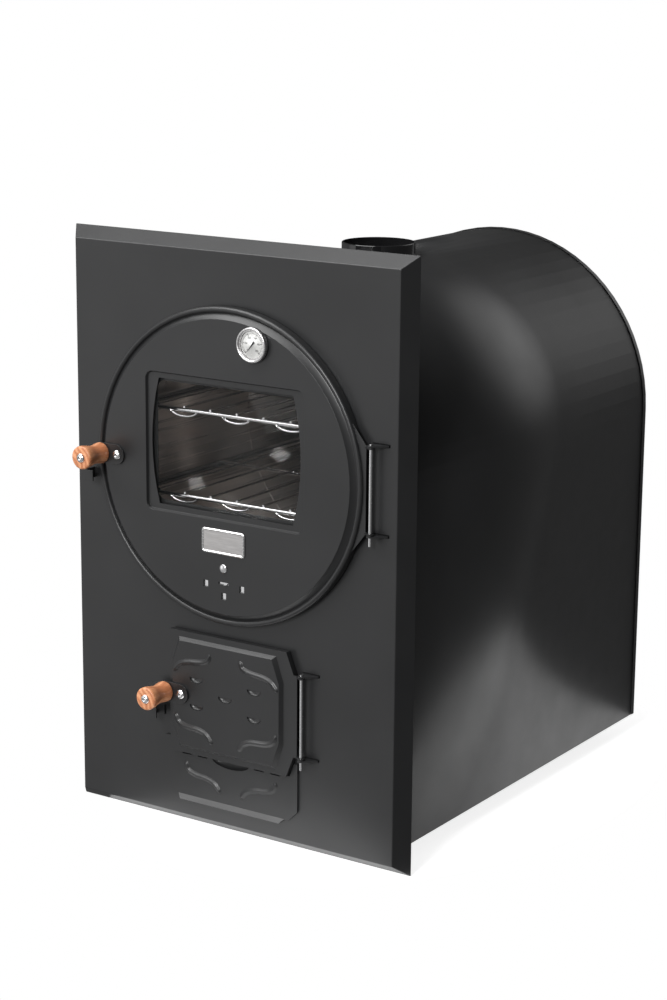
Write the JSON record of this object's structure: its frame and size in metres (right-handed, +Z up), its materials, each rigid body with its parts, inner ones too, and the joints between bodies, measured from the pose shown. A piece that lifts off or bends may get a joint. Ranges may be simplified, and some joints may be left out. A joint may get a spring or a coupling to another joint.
{
  "type": "built-in wood-fired oven",
  "caption": "Built-in wood oven: arched casing behind a bevelled front panel with a round glazed oven door, a fire door and an ash drawer.",
  "frame": {"origin": "centre of the underside of the base plate, on which the casing stands in its masonry", "axes": "+Z up, -Y out of the front panel towards the user, +X towards the hinge side"},
  "size_m": [0.6, 0.8481, 0.893],
  "materials": {
    "black_paint": "satin black heat-proof paint",
    "gloss_enamel": "gloss black enamel",
    "bright_steel": "bright zinc-plated steel",
    "brushed_steel": "brushed stainless steel",
    "chrome": "polished chrome wire and strip",
    "cast_iron": "rough cast iron",
    "firebrick": "dull refractory board",
    "waxed_wood": "turned and waxed reddish wood",
    "clear_glass": "clear heat-proof glass",
    "rope_seal": "grey glass-fibre rope",
    "white_dial": "matt white printed plate",
    "black_needle": "matt black"
  },
  "bodies": {
    "oven_body": {"front_panel": "black_paint", "outer_casing": "black_paint", "base_plate": "black_paint", "rear_cover": "black_paint", "flue_collar": "gloss_enamel", "oven_drum": "brushed_steel", "drum_back": "brushed_steel", "upper_rail_left": "chrome", "upper_rail_right": "chrome", "lower_rail_left": "chrome", "lower_rail_right": "chrome", "fire_throat": "black_paint", "drawer_guide_left": "black_paint", "drawer_guide_right": "black_paint", "fire_grate": "cast_iron", "fire_brick_left": "firebrick", "fire_brick_right": "firebrick", "fire_brick_back": "firebrick", "flame_baffle": "cast_iron", "oven_hinge_bracket": "black_paint", "fire_hinge_bracket": "black_paint", "oven_hinge_pin": "bright_steel", "fire_hinge_pin": "bright_steel", "oven_latch_catch": "black_paint", "fire_latch_catch": "black_paint"},
    "oven_door": {"oven_door_panel": "black_paint", "oven_door_liner": "black_paint", "door_seal": "rope_seal", "door_glass": "clear_glass", "glass_frame": "black_paint", "badge_plate": "brushed_steel", "thermometer_case": "brushed_steel", "thermometer_dial": "white_dial", "thermometer_lens": "clear_glass", "thermometer_nut": "bright_steel", "damper_rivet": "bright_steel", "oven_latch_pivot": "bright_steel"},
    "needle": {"thermometer_needle": "black_needle"},
    "damper": {"air_damper": "bright_steel"},
    "oven_latch": {"oven_latch_lever": "black_paint", "oven_latch_grip": "waxed_wood", "oven_latch_grip_screw": "bright_steel"},
    "fire_door": {"fire_door_panel": "black_paint", "fire_door_shield": "black_paint", "shield_stud_left": "bright_steel", "shield_stud_right": "bright_steel", "fire_latch_pivot": "bright_steel"},
    "fire_latch": {"fire_latch_lever": "black_paint", "fire_latch_grip": "waxed_wood", "fire_latch_grip_screw": "bright_steel"},
    "upper_rack": {"upper_rack": "chrome"},
    "lower_rack": {"lower_rack": "chrome"},
    "ash_drawer": {"ash_drawer_front": "black_paint", "ash_pan": "bright_steel"}
  },
  "joints": [
    {"name": "oven_door_hinge", "type": "hinge", "parent": "oven_body", "child": "oven_door", "pos_m": [0.2465, -0.412, 0.5334], "axis": [0, 0, 1], "range_deg": [0, 115]},
    {"name": "fire_door_hinge", "type": "hinge", "parent": "oven_body", "child": "fire_door", "pos_m": [0.133, -0.412, 0.1822], "axis": [0, 0, 1], "range_deg": [0, 110]},
    {"name": "oven_latch_pivot", "type": "hinge", "parent": "oven_door", "child": "oven_latch", "pos_m": [-0.192, -0.419, 0.5305], "axis": [0, 1, 0], "range_deg": [-35, 25]},
    {"name": "fire_latch_pivot", "type": "hinge", "parent": "fire_door", "child": "fire_latch", "pos_m": [-0.079, -0.417, 0.1811], "axis": [0, 1, 0], "range_deg": [-35, 25]},
    {"name": "thermometer_needle_turn", "type": "hinge", "parent": "oven_door", "child": "needle", "pos_m": [0.0537, -0.423, 0.7194], "axis": [0, 1, 0], "range_deg": [0, 260]},
    {"name": "air_damper_turn", "type": "hinge", "parent": "oven_door", "child": "damper", "pos_m": [0, -0.415, 0.3864], "axis": [0, 1, 0], "range_deg": [0, 24]},
    {"name": "upper_rack_slide", "type": "slide", "parent": "oven_body", "child": "upper_rack", "axis": [0, -1, 0], "range_m": [-0.03, 0.008]},
    {"name": "lower_rack_slide", "type": "slide", "parent": "oven_body", "child": "lower_rack", "axis": [0, -1, 0], "range_m": [-0.03, 0.008]},
    {"name": "ash_drawer_slide", "type": "slide", "parent": "oven_body", "child": "ash_drawer", "axis": [0, -1, 0], "range_m": [0, 0.3]}
  ]
}
